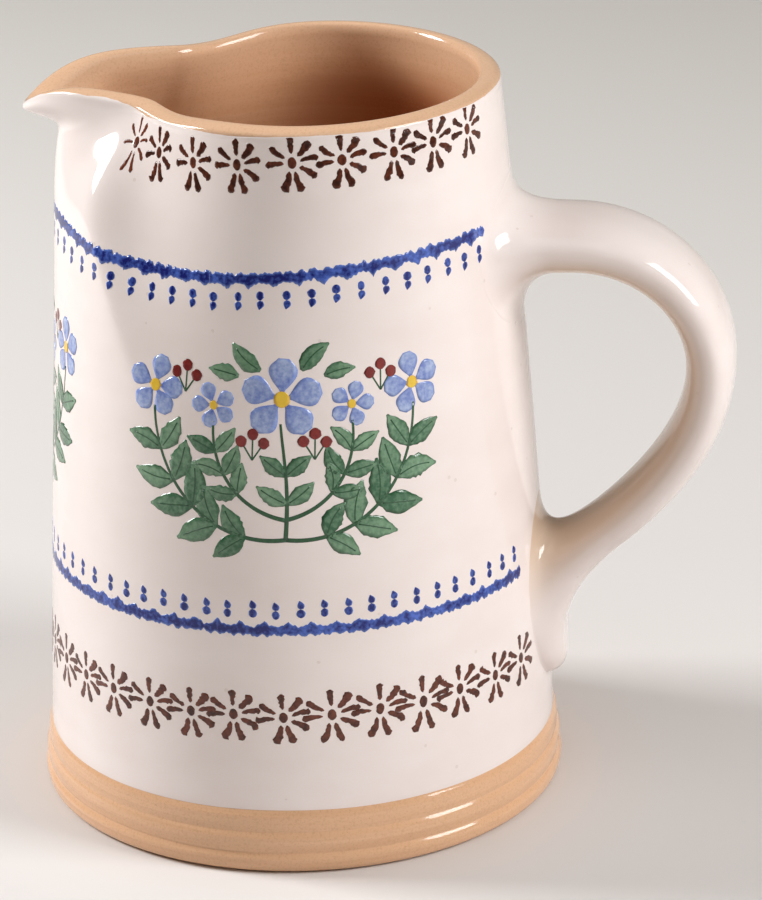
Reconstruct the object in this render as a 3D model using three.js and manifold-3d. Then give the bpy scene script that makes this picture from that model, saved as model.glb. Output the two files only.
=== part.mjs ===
// A wheel-thrown cylinder jug: a buff clay body with a pulled spout, a white slip coat let in flush on
// its wall, and a pulled strap handle that is luted to the wall at two joints with thick slip.
// Sizes are in millimetres and +Z is up. The origin is the middle of the flat underside, +X points to
// the handle and -X to the spout, so the jug is alike on both sides of the XZ plane.

import * as THREE from 'three';
import Module from 'manifold-3d';

const { lerp, smoothstep, degToRad, radToDeg } = THREE.MathUtils;

// Thrown wall, measured on the finished outside
const rimHeight = 186.1;
const rimRadius = 53;
const wallBelly = 1.3;
const rimThickness = 5.5;
const baseWallThickness = 7;
const floorThickness = 8;
const innerCornerRadius = 10;

// Rounded edge of the rim, with its crown nearer to the inside: the depth of the rounding on each side
const rimRound = 1.6;
const rimInnerRound = 3;
const rimCrownInset = 4.1;

// Bare foot band with its throwing ridges
const footBandHeight = 16.4;
const footRadius = 67.5;
const footTaper = 1.8;
const shoulderInset = 2.3;
const shoulderRadius = footRadius - shoulderInset;
const footEdgeRound = 1.6;
const ridgeCount = 3;
const ridgeDepth = 0.6;

// Pulled spout: angles in degrees from the middle of the spout, depths down from the rim. The lip is the
// pull on the outside and the channel the pull on the inside
const lip = { reach: 11.7, curl: 6.5, fullness: 3.3 };
const channel = { reach: 8.1, curl: 7, fullness: 2 };
const spoutSpread = 15.6;
const spoutDrop = 7.8;
const spoutDropSpread = 10.7;
const spoutDropDepth = 30;
const channelDip = 2.2;
const spoutBelly = 2.5;
const spoutBellySpread = 28;
const spoutBellyDepth = 19.5;

// Hollow under each side of the lip
const hollow = { depth: 1.9, angle: 26, spread: 12, below: 7 };

// Pinched throat on both sides of the spout, where the rim dips too. The pinch runs down the wall by a
// short reach next to the spout and by a long one towards the back
const throatPinch = 11.5;
const throatAngle = 43.3;
const throatSpoutSpread = 17.8;
const throatBackSpread = 41.5;
const throatReach = 28;
const throatBackReach = 80;
const throatReachAngle = 34;
const throatReachSpread = 22;
const throatDip = 1.5;
const throatDipAngle = 55.5;
const throatDipSpread = 17.5;

// White slip coat, and the clearance between neighbouring pieces
const coatThickness = 0.6;
const clearance = 0.3;
const coatInset = coatThickness + clearance;

// Strap handle: its middle line runs out level from the wall, round an elliptical shoulder to the waist,
// where it stands furthest out, then down and in again. Reaches are measured from the wall at each joint
const handleDrop = 40.9;
const handleRootLength = 11;
const handleLevelRun = 15;
const handleReach = 48.5;
const handleWaistDrop = 31.7;
const handleEndReach = 16.5;
const handleEndAboveFoot = 53;
const handleEndSlope = 40.5;
const handleWaistPull = 17;
const handleEndPull = 18;
const upperWidth = 35;
const upperThickness = 14;
const lowerWidth = 26;
const lowerThickness = 11;
const strapSquareness = 2.4;

// Joints: the outer span follows the handle's outer face and the inner span its finger side. The strap
// leaves its own line for the wall over one distance, and slides along the wall or rises from it at the end
const upperJointDrop = 42.6;
const lowerJointAboveFoot = 35.6;
const upperJoint = {
  height: rimHeight - upperJointDrop,
  upward: 1,
  halfWidth: 25.5,
  span: { outer: 18, inner: 20 },
  leave: { outer: 7.3, side: 7.3, inner: 4 },
  slide: { outer: 7, side: 5.3, inner: 9.5 },
  rise: { outer: 0, side: 0, inner: 0 },
};
const lowerJoint = {
  height: footBandHeight + lowerJointAboveFoot,
  upward: -1,
  halfWidth: 16.5,
  span: { outer: 24.1, inner: 25 },
  leave: { outer: 28, side: 17, inner: 12.5 },
  slide: { outer: 3, side: 2.5, inner: 10 },
  rise: { outer: 9, side: 2.5, inner: 0 },
};

// Luting slip: each pad takes this share of its joint's span
const lutingShare = 0.6;
const lutingThickness = 0.6;

// Facets
const plainSteps = 38;
const spoutSteps = 32;
const spoutHalfAngle = 66;
const wallSteps = 13;
const wallCrowding = 2.2;
const rimSteps = 3;
const cornerSteps = 4;
const ridgeSteps = 4;
const strapSides = 28;
const armSteps = 18;
const jointSteps = 7;

// Small step for measuring slopes, in radians or millimetres
const nudge = 0.01;

// Shape functions that the spout is pulled with
const bell = (offset, spread) => Math.exp(-((offset / spread) ** 2));
const swell = (depth, peak) => (depth / peak) * Math.exp(1 - depth / peak);
const fade = (depth, reach, power) => Math.max(0, 1 - depth / reach) ** power;

// Angle to the middle of the spout, in degrees, for a direction about the axis in radians
function fromSpout(angle) {
  return Math.abs(radToDeg(Math.atan2(Math.sin(angle), -Math.cos(angle))));
}

// Finished outside radius away from the spout: a straight taper with a slight swelling
function wallRadius(height) {
  const rise = (height - footBandHeight) / (rimHeight - footBandHeight);
  return lerp(shoulderRadius, rimRadius, rise) + 4 * wallBelly * rise * (1 - rise);
}

// What the spout adds to a radius: the pull at its edge, the fullness under it, the hollows beside it and
// the pinched throat
function spoutShape(angle, depth, pull) {
  const away = fromSpout(angle);
  const belowEdge = Math.max(0, depth - rimRound) / pull.curl;
  const edge = pull.reach * bell(away, spoutSpread) * Math.exp(-(belowEdge ** pull.fullness));
  const fullness = spoutBelly * bell(away, spoutBellySpread) * swell(depth, spoutBellyDepth);
  const throatSpread = away < throatAngle ? throatSpoutSpread : throatBackSpread;
  const throat = throatPinch * bell(away - throatAngle, throatSpread);
  const nearSpout = bell(Math.max(0, away - throatReachAngle), throatReachSpread);
  const left = 1 - smoothstep(depth, 0, lerp(throatBackReach, throatReach, nearSpout));
  const hollowed = hollow.depth * bell(away - hollow.angle, hollow.spread) * swell(depth, hollow.below);
  return edge + fullness - hollowed - throat * left;
}

function heightAt(angle, depth) {
  const away = fromSpout(angle);
  const tipDrop = spoutDrop * bell(away, spoutDropSpread);
  const dip = throatDip * bell(away - throatDipAngle, throatDipSpread);
  return rimHeight - depth - (tipDrop + dip) * fade(depth, spoutDropDepth, 2);
}

function outerRadius(angle, depth) {
  return wallRadius(rimHeight - depth) + spoutShape(angle, depth, lip);
}

// The wall keeps its thickness where the pinch runs slantwise to the radius
function innerRadius(angle, depth) {
  const outer = outerRadius(angle, Math.max(depth, rimRound));
  const turned = outerRadius(angle + nudge, Math.max(depth, rimRound));
  const slant = Math.hypot(1, (turned - outer) / (nudge * outer));
  const thickness = lerp(rimThickness, baseWallThickness, depth / rimHeight);
  return wallRadius(rimHeight - depth) - thickness * slant + spoutShape(angle, depth, channel);
}

function polar(radius, angle, height) {
  return new THREE.Vector3(radius * Math.cos(angle), radius * Math.sin(angle), height);
}

// A point of the finished outside, or one sunk below it by an inset square to the surface
function skinPoint(angle, depth, inset = 0) {
  const at = (a, d) => polar(outerRadius(a, d), a, heightAt(a, d));
  const point = at(angle, depth);
  const along = at(angle + nudge, depth).sub(at(angle - nudge, depth));
  const down = at(angle, depth + nudge).sub(point);
  const normal = down.cross(along).normalize();
  return point.addScaledVector(normal, -inset);
}

// Depth at which the surface has run a short distance down from the rim's edge
function depthFromEdge(angle, distance) {
  const stretch = skinPoint(angle, rimRound).distanceTo(skinPoint(angle, rimRound + nudge)) / nudge;
  return rimRound + distance / stretch;
}

// Directions of a ring about the axis, closer together round the spout
function ringAngles() {
  const plainHalf = 180 - spoutHalfAngle;
  const angles = [];
  for (let i = 0; i < plainSteps; i++) angles.push(-plainHalf + (2 * plainHalf * i) / plainSteps);
  for (let i = 0; i < spoutSteps; i++) angles.push(plainHalf + (2 * spoutHalfAngle * i) / spoutSteps);
  return angles.map(degToRad);
}

const angles = ringAngles();
const ringOf = (pointAt) => angles.map(pointAt);
const roundRing = (radius, height) => ringOf((angle) => polar(radius, angle, height));

// Depths of the wall's rings, crowded towards the rim
function wallDepths(top, bottom) {
  const depths = [];
  for (let i = 0; i <= wallSteps; i++) depths.push(lerp(top, bottom, (i / wallSteps) ** wallCrowding));
  return depths;
}

// A closed surface through rings of equal length: with ends it is capped there, and without it joins
// its last ring to its first
function loft(rings, ends) {
  const count = rings[0].length;
  const points = rings.flat();
  const index = [];
  const quads = ends ? rings.length - 1 : rings.length;
  for (let i = 0; i < quads; i++) {
    for (let j = 0; j < count; j++) {
      const low = i * count;
      const high = ((i + 1) % rings.length) * count;
      const next = (j + 1) % count;
      index.push(low + j, low + next, high + next, low + j, high + next, high + j);
    }
  }
  if (ends) {
    const last = (rings.length - 1) * count;
    points.push(ends[0], ends[1]);
    for (let j = 0; j < count; j++) {
      const next = (j + 1) % count;
      index.push(points.length - 2, next, j, points.length - 1, last + j, last + next);
    }
  }
  const geometry = new THREE.BufferGeometry().setFromPoints(points);
  geometry.setIndex(facesOut(points, index));
  return geometry;
}

// Turns the triangles round if they enclose a negative volume
function facesOut(points, index) {
  let volume = 0;
  for (let i = 0; i < index.length; i += 3) {
    const [a, b, c] = [points[index[i]], points[index[i + 1]], points[index[i + 2]]];
    volume += a.dot(b.clone().cross(c));
  }
  return volume < 0 ? index.slice().reverse() : index;
}

// Foot band: flat underside, rounded bottom edge and rounded ridges with narrow grooves between them
function footRings() {
  const bandRadius = (height) => {
    const groove = 1 - Math.abs(Math.sin((Math.PI * ridgeCount * height) / footBandHeight));
    return footRadius - footTaper * (height / footBandHeight) ** 2 - ridgeDepth * groove;
  };
  const rings = [roundRing(bandRadius(footEdgeRound) - footEdgeRound, 0)];
  for (let i = 1; i <= ridgeCount * ridgeSteps; i++) {
    const height = (footBandHeight * i) / (ridgeCount * ridgeSteps);
    const tuck = footEdgeRound * (1 - Math.sqrt(1 - fade(height, footEdgeRound, 2)));
    rings.push(roundRing(bandRadius(height) - tuck, height));
  }
  return rings;
}

// Depth of the rim's rounding on the inside, where the channel dips
const innerRound = (angle) => rimInnerRound + channelDip * bell(fromSpout(angle), spoutSpread);

// Rim: a quarter round from the outside up to the crown, then one down to the inside
function rimRings() {
  const rings = [];
  for (let i = 0; i <= 2 * rimSteps; i++) {
    const turn = (Math.PI / 2) * (i / rimSteps);
    const rounding = 1 - Math.abs(Math.cos(turn));
    const outside = i <= rimSteps;
    rings.push(ringOf((angle) => {
      const outer = outerRadius(angle, rimRound);
      const crown = outer - rimCrownInset;
      const depth = (outside ? rimRound : innerRound(angle)) * (1 - Math.sin(turn));
      const toCrown = crown - innerRadius(angle, 0);
      const inner = innerRadius(angle, depth) + toCrown * rounding;
      return polar(outside ? lerp(outer, crown, rounding) : inner, angle, heightAt(angle, depth));
    }));
  }
  return rings;
}

// Inside: the wall down from the rim, then a round corner to the floor
function insideRings() {
  const bottom = rimHeight - floorThickness - innerCornerRadius;
  const rings = [];
  for (let i = 1; i <= wallSteps; i++) {
    const share = (i / wallSteps) ** wallCrowding;
    rings.push(ringOf((angle) => {
      const depth = lerp(innerRound(angle), bottom, share);
      return polar(innerRadius(angle, depth), angle, heightAt(angle, depth));
    }));
  }
  const cornerCentre = innerRadius(0, bottom) - innerCornerRadius;
  for (let i = 1; i <= cornerSteps; i++) {
    const turn = (Math.PI / 2) * (i / cornerSteps);
    const radius = cornerCentre + innerCornerRadius * Math.cos(turn);
    rings.push(roundRing(radius, floorThickness + innerCornerRadius * (1 - Math.sin(turn))));
  }
  return rings;
}

function clayBody() {
  const rings = footRings();
  const coatBottom = rimHeight - footBandHeight;
  const sunken = wallDepths(rimRound, coatBottom).slice(1).reverse();
  for (const depth of sunken) rings.push(ringOf((angle) => skinPoint(angle, depth, coatInset)));
  const edge = (inset) => ringOf((angle) => skinPoint(angle, depthFromEdge(angle, clearance), inset));
  rings.push(edge(coatInset), edge(0), ...rimRings(), ...insideRings());
  return loft(rings, [new THREE.Vector3(0, 0, 0), new THREE.Vector3(0, 0, floorThickness)]);
}

// White coat: a thin shell over the wall, from the foot band to just under the rim's edge
function coatShell() {
  const bottom = rimHeight - footBandHeight - clearance;
  const depths = wallDepths(rimRound, bottom).slice(1);
  const face = (inset) => [
    ringOf((angle) => skinPoint(angle, depthFromEdge(angle, 2 * clearance), inset)),
    ...depths.map((depth) => ringOf((angle) => skinPoint(angle, depth, inset))),
  ];
  return loft([...face(0), ...face(coatThickness).reverse()]);
}

// Middle line of the handle, as distance from the jug's axis and height
const armPath = new THREE.CurvePath();
const upperWall = wallRadius(upperJoint.height);
const lowerWall = wallRadius(lowerJoint.height);
const levelHeight = rimHeight - handleDrop;
const armStart = new THREE.Vector2(upperWall + handleRootLength, levelHeight);
const shoulderStart = new THREE.Vector2(upperWall + handleLevelRun, levelHeight);
const waist = new THREE.Vector2(upperWall + handleReach, levelHeight - handleWaistDrop);
const armEnd = new THREE.Vector2(lowerWall + handleEndReach, footBandHeight + handleEndAboveFoot);
const endSlope = degToRad(handleEndSlope);
const endPull = new THREE.Vector2(Math.cos(endSlope), Math.sin(endSlope)).multiplyScalar(handleEndPull);
armPath.add(new THREE.LineCurve(armStart, shoulderStart));
armPath.add(new THREE.EllipseCurve(
  shoulderStart.x, waist.y, handleReach - handleLevelRun, handleWaistDrop, Math.PI / 2, 0, true,
));
armPath.add(new THREE.CubicBezierCurve(
  waist, new THREE.Vector2(waist.x, waist.y - handleWaistPull), armEnd.clone().add(endPull), armEnd,
));

// Direction round the strap: cosine runs across its width, sine towards the handle's outer face
function strapTurns() {
  const turns = [];
  for (let i = 0; i < strapSides; i++) turns.push((2 * Math.PI * i) / strapSides);
  return turns;
}

const turns = strapTurns();
const rounded = (value) => Math.sign(value) * Math.abs(value) ** (2 / strapSquareness);

function strapPoint(share, turn) {
  const middle = armPath.getPointAt(share);
  const tangent = armPath.getTangentAt(share);
  const across = (lerp(upperWidth, lowerWidth, share) / 2) * rounded(Math.cos(turn));
  const outward = (lerp(upperThickness, lowerThickness, share) / 2) * rounded(Math.sin(turn));
  return new THREE.Vector3(middle.x - tangent.y * outward, across, middle.y + tangent.x * outward);
}

// A point of a joint's outline on the wall, shrunk by a share, grown by a margin and lifted off the wall
function jointPoint(joint, turn, { share = 1, margin = 0, lift = 0 } = {}) {
  const span = Math.sin(turn) > 0 ? joint.span.outer : joint.span.inner;
  const across = (joint.halfWidth * share + margin) * Math.cos(turn);
  const height = joint.height + joint.upward * (span * share + margin) * Math.sin(turn);
  const radius = wallRadius(height) + lift;
  return new THREE.Vector3(Math.sqrt(radius ** 2 - across ** 2), across, height);
}

const jointRing = (joint, placing) => turns.map((turn) => jointPoint(joint, turn, placing));

function jointMiddle(joint, lift) {
  return new THREE.Vector3(wallRadius(joint.height) + lift, 0, joint.height);
}

// A joint's value for one side of the strap, going smoothly from side to side
function aroundStrap(values, turn) {
  const facing = Math.sin(turn);
  return lerp(values.side, facing > 0 ? values.outer : values.inner, facing ** 2);
}

// Rings that spread the strap's end into its outline on the wall, each side along a Bezier curve
function jointRings(joint, share) {
  const inward = armPath.getTangentAt(share).multiplyScalar(share > 0 ? 1 : -1);
  const direction = new THREE.Vector3(inward.x, 0, inward.y);
  const sides = turns.map((turn) => {
    const start = strapPoint(share, turn);
    const leaving = start.clone().addScaledVector(direction, aroundStrap(joint.leave, turn));
    const margin = -aroundStrap(joint.slide, turn);
    const arriving = jointPoint(joint, turn, { margin, lift: aroundStrap(joint.rise, turn) });
    return new THREE.CubicBezierCurve3(start, leaving, arriving, jointPoint(joint, turn));
  });
  const rings = [];
  for (let i = 1; i <= jointSteps; i++) rings.push(sides.map((side) => side.getPoint(i / jointSteps)));
  return rings;
}

// Underside of a joint, from its edge inward: a lip against the clay round a recess over the slip pad
function seatRings(joint) {
  const recess = lutingThickness - coatThickness + clearance;
  return [
    jointRing(joint, { lift: -coatThickness }),
    jointRing(joint, { share: lutingShare, margin: clearance, lift: -coatThickness }),
    jointRing(joint, { share: lutingShare, margin: clearance, lift: recess }),
    jointRing(joint, { share: lutingShare / 2, lift: recess }),
  ];
}

function strapHandle() {
  const upper = [...jointRings(upperJoint, 0), ...seatRings(upperJoint)].reverse();
  const lower = [...jointRings(lowerJoint, 1), ...seatRings(lowerJoint)];
  const arm = [];
  for (let i = 0; i <= armSteps; i++) arm.push(turns.map((turn) => strapPoint(i / armSteps, turn)));
  const recess = lutingThickness - coatThickness + clearance;
  const ends = [upperJoint, lowerJoint].map((joint) => jointMiddle(joint, recess));
  return loft([...upper, ...arm, ...lower], ends);
}

// Pad of slip between the scored clay and the handle's recess
function lutingPad(joint) {
  const low = -coatThickness;
  const high = lutingThickness - coatThickness;
  const rings = [
    jointRing(joint, { share: lutingShare / 2, lift: low }),
    jointRing(joint, { share: lutingShare, lift: low }),
    jointRing(joint, { share: lutingShare, lift: high }),
    jointRing(joint, { share: lutingShare / 2, lift: high }),
  ];
  return loft(rings, [jointMiddle(joint, low), jointMiddle(joint, high)]);
}

// Plug that clears the coat from under a joint
function jointPlug(joint) {
  const plugReach = 2 * coatInset;
  const rings = [-plugReach, plugReach].map((lift) => jointRing(joint, { margin: clearance, lift }));
  return loft(rings, [jointMiddle(joint, -plugReach), jointMiddle(joint, plugReach)]);
}

const wasm = await Module();
wasm.setup();

function solid(geometry) {
  return new wasm.Manifold(new wasm.Mesh({
    numProp: 3,
    vertProperties: new Float32Array(geometry.attributes.position.array),
    triVerts: new Uint32Array(geometry.index.array),
  }));
}

function geometryOf(manifold) {
  const mesh = manifold.getMesh();
  const geometry = new THREE.BufferGeometry();
  geometry.setAttribute('position', new THREE.BufferAttribute(mesh.vertProperties, 3));
  geometry.setIndex(new THREE.BufferAttribute(mesh.triVerts, 1));
  return geometry;
}

function coatRoundJoints() {
  const plugs = [upperJoint, lowerJoint].map((joint) => solid(jointPlug(joint)));
  return geometryOf(plugs.reduce((coat, plug) => coat.subtract(plug), solid(coatShell())));
}

const buffClay = { color: '#cf9d72', roughness: 0.3, metalness: 0 };
const whiteSlip = { color: '#f4ebe5', roughness: 0.12, metalness: 0 };
const lutingSlip = { color: '#d8b593', roughness: 0.8, metalness: 0 };

const jug = new THREE.Group();

function addPiece(name, geometry, finish) {
  geometry.computeVertexNormals();
  const piece = new THREE.Mesh(geometry, new THREE.MeshStandardMaterial(finish));
  piece.name = name;
  jug.add(piece);
}

addPiece('clay_body', clayBody(), buffClay);
addPiece('white_slip_coat', coatRoundJoints(), whiteSlip);
addPiece('handle', strapHandle(), whiteSlip);
addPiece('upper_luting_slip', lutingPad(upperJoint), lutingSlip);
addPiece('lower_luting_slip', lutingPad(lowerJoint), lutingSlip);

export default jug;
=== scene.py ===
# %% [markdown]
# # A thrown jug with a pulled spout
# The jug is a buff clay cylinder from the potter's wheel, dipped in white slip, painted by hand and
# glazed all over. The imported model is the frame: it fixes every size and place, and this lesson lays finer
# surfaces over it and gives them glaze, paint and light.

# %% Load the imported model
import math

import bpy
import numpy as np
from mathutils import Matrix, Vector


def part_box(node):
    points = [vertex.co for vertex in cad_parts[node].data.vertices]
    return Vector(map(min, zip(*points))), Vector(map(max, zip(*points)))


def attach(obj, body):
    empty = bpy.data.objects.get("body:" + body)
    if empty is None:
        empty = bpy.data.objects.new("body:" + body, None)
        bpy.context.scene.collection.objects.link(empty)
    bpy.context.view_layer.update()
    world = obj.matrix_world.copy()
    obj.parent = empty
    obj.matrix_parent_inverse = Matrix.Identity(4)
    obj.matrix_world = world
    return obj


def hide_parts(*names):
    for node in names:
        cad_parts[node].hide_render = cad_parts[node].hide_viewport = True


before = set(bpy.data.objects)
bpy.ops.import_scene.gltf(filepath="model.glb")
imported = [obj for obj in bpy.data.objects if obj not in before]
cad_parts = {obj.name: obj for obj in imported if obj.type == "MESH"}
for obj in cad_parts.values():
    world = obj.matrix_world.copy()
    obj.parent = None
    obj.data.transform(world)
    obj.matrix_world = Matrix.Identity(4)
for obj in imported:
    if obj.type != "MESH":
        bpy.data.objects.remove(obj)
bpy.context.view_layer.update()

# %% [markdown]
# ## The wall as a formula
# A thrown wall could be drawn as a profile and turned with a Screw modifier, but this one stops being round
# near its rim, where the spout was pulled out and the throat was pinched. So the wall is written as a
# formula: a direction about the axis and a depth below the rim give a point. The numbers are the solid
# model's own, in millimetres, so the fine surface falls where the solid is. Only the hollow beside the lip
# is cut a little deeper, so that its shade shows.

# %% Sizes of the thrown wall, in millimetres
rim_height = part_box("clay_body")[1].z * 1000
rim_radius = 53
wall_belly = 1.3
rim_thickness, base_wall_thickness = 5.5, 7
floor_thickness, inner_corner_radius = 8, 10
rim_round, rim_inner_round, rim_crown_inset = 1.6, 3.0, 4.1
foot_band_height, foot_radius, foot_taper = 16.4, 67.5, 1.8
shoulder_radius = foot_radius - 2.3
print("rim at", round(rim_height, 1), "mm, foot", 2 * foot_radius, "mm across")


# %% Shape functions
def bell(offset, spread):
    return np.exp(-((offset / spread) ** 2))


def swell(depth, peak):
    return depth / peak * np.exp(1 - depth / peak)


def fade(depth, reach, power):
    return np.maximum(0, 1 - depth / reach) ** power


def between(low, high, share):
    return low + (high - low) * share


def ease(share):
    share = np.clip(share, 0, 1)
    return share * share * (3 - 2 * share)


# %% Wall and spout
lip = {"reach": 11.7, "curl": 6.5, "fullness": 3.3}
channel = {"reach": 8.1, "curl": 7, "fullness": 2}
spout_spread, channel_dip = 15.6, 2.2
breast_out, breast_spread, breast_depth = 2.5, 28, 19.5
hollow_in, hollow_at, hollow_spread, hollow_depth = 3.0, 27, 12, 8
throat_in, throat_at, throat_near, throat_far = 11.5, 43.3, 17.8, 41.5
short_reach, long_reach, short_until, short_spread = 28, 80, 34, 22
tip_drop, tip_spread = 7.8, 10.7
side_drop, side_at, side_spread = 1.5, 55.5, 17.5
drop_reach = 30


def from_spout(angle):
    return np.abs(np.degrees(np.arctan2(np.sin(angle), -np.cos(angle))))


def wall_radius(height):
    rise = (height - foot_band_height) / (rim_height - foot_band_height)
    return between(shoulder_radius, rim_radius, rise) + 4 * wall_belly * rise * (1 - rise)


def spout_shape(angle, depth, pull):
    away = from_spout(angle)
    below_edge = np.maximum(0, depth - rim_round) / pull["curl"]
    edge = pull["reach"] * bell(away, spout_spread) * np.exp(-(below_edge ** pull["fullness"]))
    swelling = breast_out * bell(away, breast_spread) * swell(depth, breast_depth)
    dent = hollow_in * bell(away - hollow_at, hollow_spread) * swell(depth, hollow_depth)
    spread = np.where(away < throat_at, throat_near, throat_far)
    reach = between(long_reach, short_reach, bell(np.maximum(0, away - short_until), short_spread))
    pinch = throat_in * bell(away - throat_at, spread) * (1 - ease(depth / reach))
    return edge + swelling - dent - pinch


def rim_drop(angle):
    away = from_spout(angle)
    return tip_drop * bell(away, tip_spread) + side_drop * bell(away - side_at, side_spread)


def height_at(angle, depth):
    return rim_height - depth - rim_drop(angle) * fade(depth, drop_reach, 2)


def outer_radius(angle, depth):
    return wall_radius(rim_height - depth) + spout_shape(angle, depth, lip)


def inner_radius(angle, depth, step=0.01):
    edge = np.maximum(depth, rim_round)
    turned = outer_radius(angle + step, edge) - outer_radius(angle, edge)
    slant = np.hypot(1, turned / (step * outer_radius(angle, edge)))
    thickness = between(rim_thickness, base_wall_thickness, depth / rim_height)
    return wall_radius(rim_height - depth) - thickness * slant + spout_shape(angle, depth, channel)


print("spout tip", round(float(outer_radius(math.pi, rim_round)), 1), "mm from the axis")

# %% [markdown]
# ## Points on the skin
# Coat, paint and clay are all layers on one skin, so one function gives the point at any direction and
# depth, sunk below the finished outside by as much as the layer needs. Near the top the skin tucks in with
# the rounded rim. The thrower's fingers leave a faint spiral on the wall, too shallow to see as a shape,
# but a glossy glaze shows it in reflections.


# %% Skin, layers and throwing spiral
def joined(*values):
    return np.stack(np.broadcast_arrays(*values), -1)


def polar(radius, angle, height):
    return joined(radius * np.cos(angle), radius * np.sin(angle), height)


def throwing_spiral(angle, height, pitch=7.3):
    turn = 2 * np.pi * height / pitch + angle
    strength = 0.5 + 0.3 * np.sin(2 * angle + height / 19) + 0.2 * np.sin(5 * angle - height / 31)
    return strength * (np.sin(turn) + 0.35 * np.sin(2.7 * turn + 1))


def rim_tuck(depth):
    above = np.clip(1 - depth / rim_round, 0, 1)
    return rim_crown_inset * (1 - np.sqrt(1 - above**2))


def skin_point(angle, depth):
    radius = outer_radius(angle, np.maximum(depth, rim_round)) - rim_tuck(depth)
    return polar(radius, angle, height_at(angle, depth))


def skin(angle, depth, sink=0.0, turn=0.005, drop=0.05):
    along = skin_point(angle + turn, depth) - skin_point(angle - turn, depth)
    down = skin_point(angle, depth + drop) - skin_point(angle, depth - drop)
    normal = np.cross(down, along)
    normal /= np.linalg.norm(normal, axis=-1, keepdims=True)
    point = skin_point(angle, depth)
    return point - normal * np.broadcast_to(sink, point.shape[:-1])[..., None]


# %% [markdown]
# ## From rings to a piece
# Every clay form here is a stack of closed rings, as the potter builds it. A helper joins the rings with
# quads, closes the ends, turns the faces outward by the sign of the volume, and adds a flat map for baking,
# in which the direction runs across and the path from ring to ring runs up.


# %% Helper that makes a piece from faces
def new_object(name, data):
    made = bpy.data.objects.new(name, data)
    bpy.context.collection.objects.link(made)
    return made


def new_mesh(name, points, faces):
    mesh = bpy.data.meshes.new(name)
    mesh.from_pydata(points.tolist(), [], faces)
    mesh.shade_smooth()
    return new_object(name, mesh)


def make_piece(name, points, faces, corners):
    volume = 0
    for face in faces:
        for i in range(1, face.shape[1] - 1):
            a, b, c = (points[face[:, j]] for j in (0, i, i + 1))
            volume += np.einsum("ij,ij->", a, np.cross(b, c))
    if volume < 0:
        faces = [face[:, ::-1] for face in faces]
        corners = [corner[:, ::-1] for corner in corners]
    piece = new_mesh(name, points / 1000, [f for face in faces for f in face.tolist()])
    flat = piece.data.uv_layers.new(name="OFBake")
    flat.uv.foreach_set("vector", np.concatenate([c.reshape(-1) for c in corners]).astype(np.float32))
    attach(piece, "root")
    print(name, len(piece.data.polygons), "faces,", round(abs(volume) / 6 / 1000, 2), "cubic cm")
    return piece


# %% Helper that joins rings
def ring_quads(rows, columns):
    row, column = np.meshgrid(np.arange(rows - 1), np.arange(columns), indexing="ij")
    low, next_low = row * columns + column, row * columns + (column + 1) % columns
    return joined(low, next_low, next_low + columns, low + columns).reshape(-1, 4)


def ring_corners(heights, columns):
    row, column = np.meshgrid(np.arange(len(heights) - 1), np.arange(columns), indexing="ij")
    low, high = heights[row], heights[row + 1]
    left, right = column / columns, (column + 1) / columns
    corner = [joined(*c) for c in ((left, low), (right, low), (right, high), (left, high))]
    return np.stack(corner, -2).reshape(-1, 4, 2)


def lofted_piece(name, rings, ends, hidden=None, cap_band=0.02, hidden_share=0.1):
    rings = np.asarray(rings)
    rows, columns = rings.shape[:2]
    run = np.linalg.norm(np.diff(rings, axis=0), axis=-1).max(axis=1)
    if hidden is not None:
        run = np.where(hidden, hidden_share * run, run)
    heights = np.concatenate([[0], np.cumsum(run)]) / run.sum() * (1 - 2 * cap_band) + cap_band
    points = np.concatenate([rings.reshape(-1, 3), ends])
    faces, corners = [ring_quads(rows, columns)], [ring_corners(heights, columns)]
    around = np.arange(columns)
    left, right = around / columns, (around + 1) / columns
    for end, base, order in ((0, cap_band, -1), (1, 1 - cap_band, 1)):
        first = end * (rows - 1) * columns
        edge = [first + around, first + (around + 1) % columns]
        faces.append(joined(rows * columns + end, *edge[::order]))
        flat_edge = [joined(left, base), joined(right, base)]
        corners.append(np.stack([joined((left + right) / 2, end), *flat_edge[::order]], 1))
    return make_piece(name, points, faces, corners)


# %% [markdown]
# ## The clay body
# Throwing leaves a foot band with rounded ridges, a wall that thins a little upward, and an inside that
# turns into the floor with a round corner. The rim is highest near its inner edge and slopes outward.
# Under the white coat the clay lies half a millimetre deeper. On the rim, where the clear glaze runs thin,
# the clay is painted paler, partly as painted light. Further in it is painted deep brown, partly as gathered
# glaze and partly as painted shade, so every point also stores how much of each it gets.

# %% Foot band
columns = 360
directions = np.linspace(-np.pi, np.pi, columns, endpoint=False)
ridge_count, ridge_depth, ridge_peak, ridge_fade = 3, 1.0, 0.7, 0.6
foot_edge_round, foot_inset, foot_ripple = 1.6, 0.06, 0.05


def band_radius(height):
    step = height * ridge_count / foot_band_height % 1
    rising = np.sin(np.pi / 2 * np.clip(step / ridge_peak, 0, 1)) ** 0.8
    falling = np.cos(np.pi / 2 * np.clip((step - ridge_peak) / (1 - ridge_peak), 0, 1))
    groove = 1 - np.minimum(rising, falling)
    depth = ridge_depth * (1 - ridge_fade * height / foot_band_height)
    return foot_radius - foot_taper * (height / foot_band_height) ** 2 - depth * groove


def foot_rings():
    heights = np.concatenate([foot_edge_round * (1 - np.cos(np.linspace(0, np.pi / 2, 7))),
                              np.linspace(foot_edge_round, foot_band_height, 72)[1:]])
    rings = []
    for height in heights:
        tuck = foot_edge_round * (1 - math.sqrt(1 - float(fade(height, foot_edge_round, 2))))
        wobble = foot_ripple * throwing_spiral(directions, height, 2.3) * ease(height / 3)
        rings.append(polar(band_radius(height) - tuck - foot_inset + wobble, directions, height))
    return rings


# %% Wall under the coat, rim and inside
coat_thickness, inside_ripple = 0.5, 0.025


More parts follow.
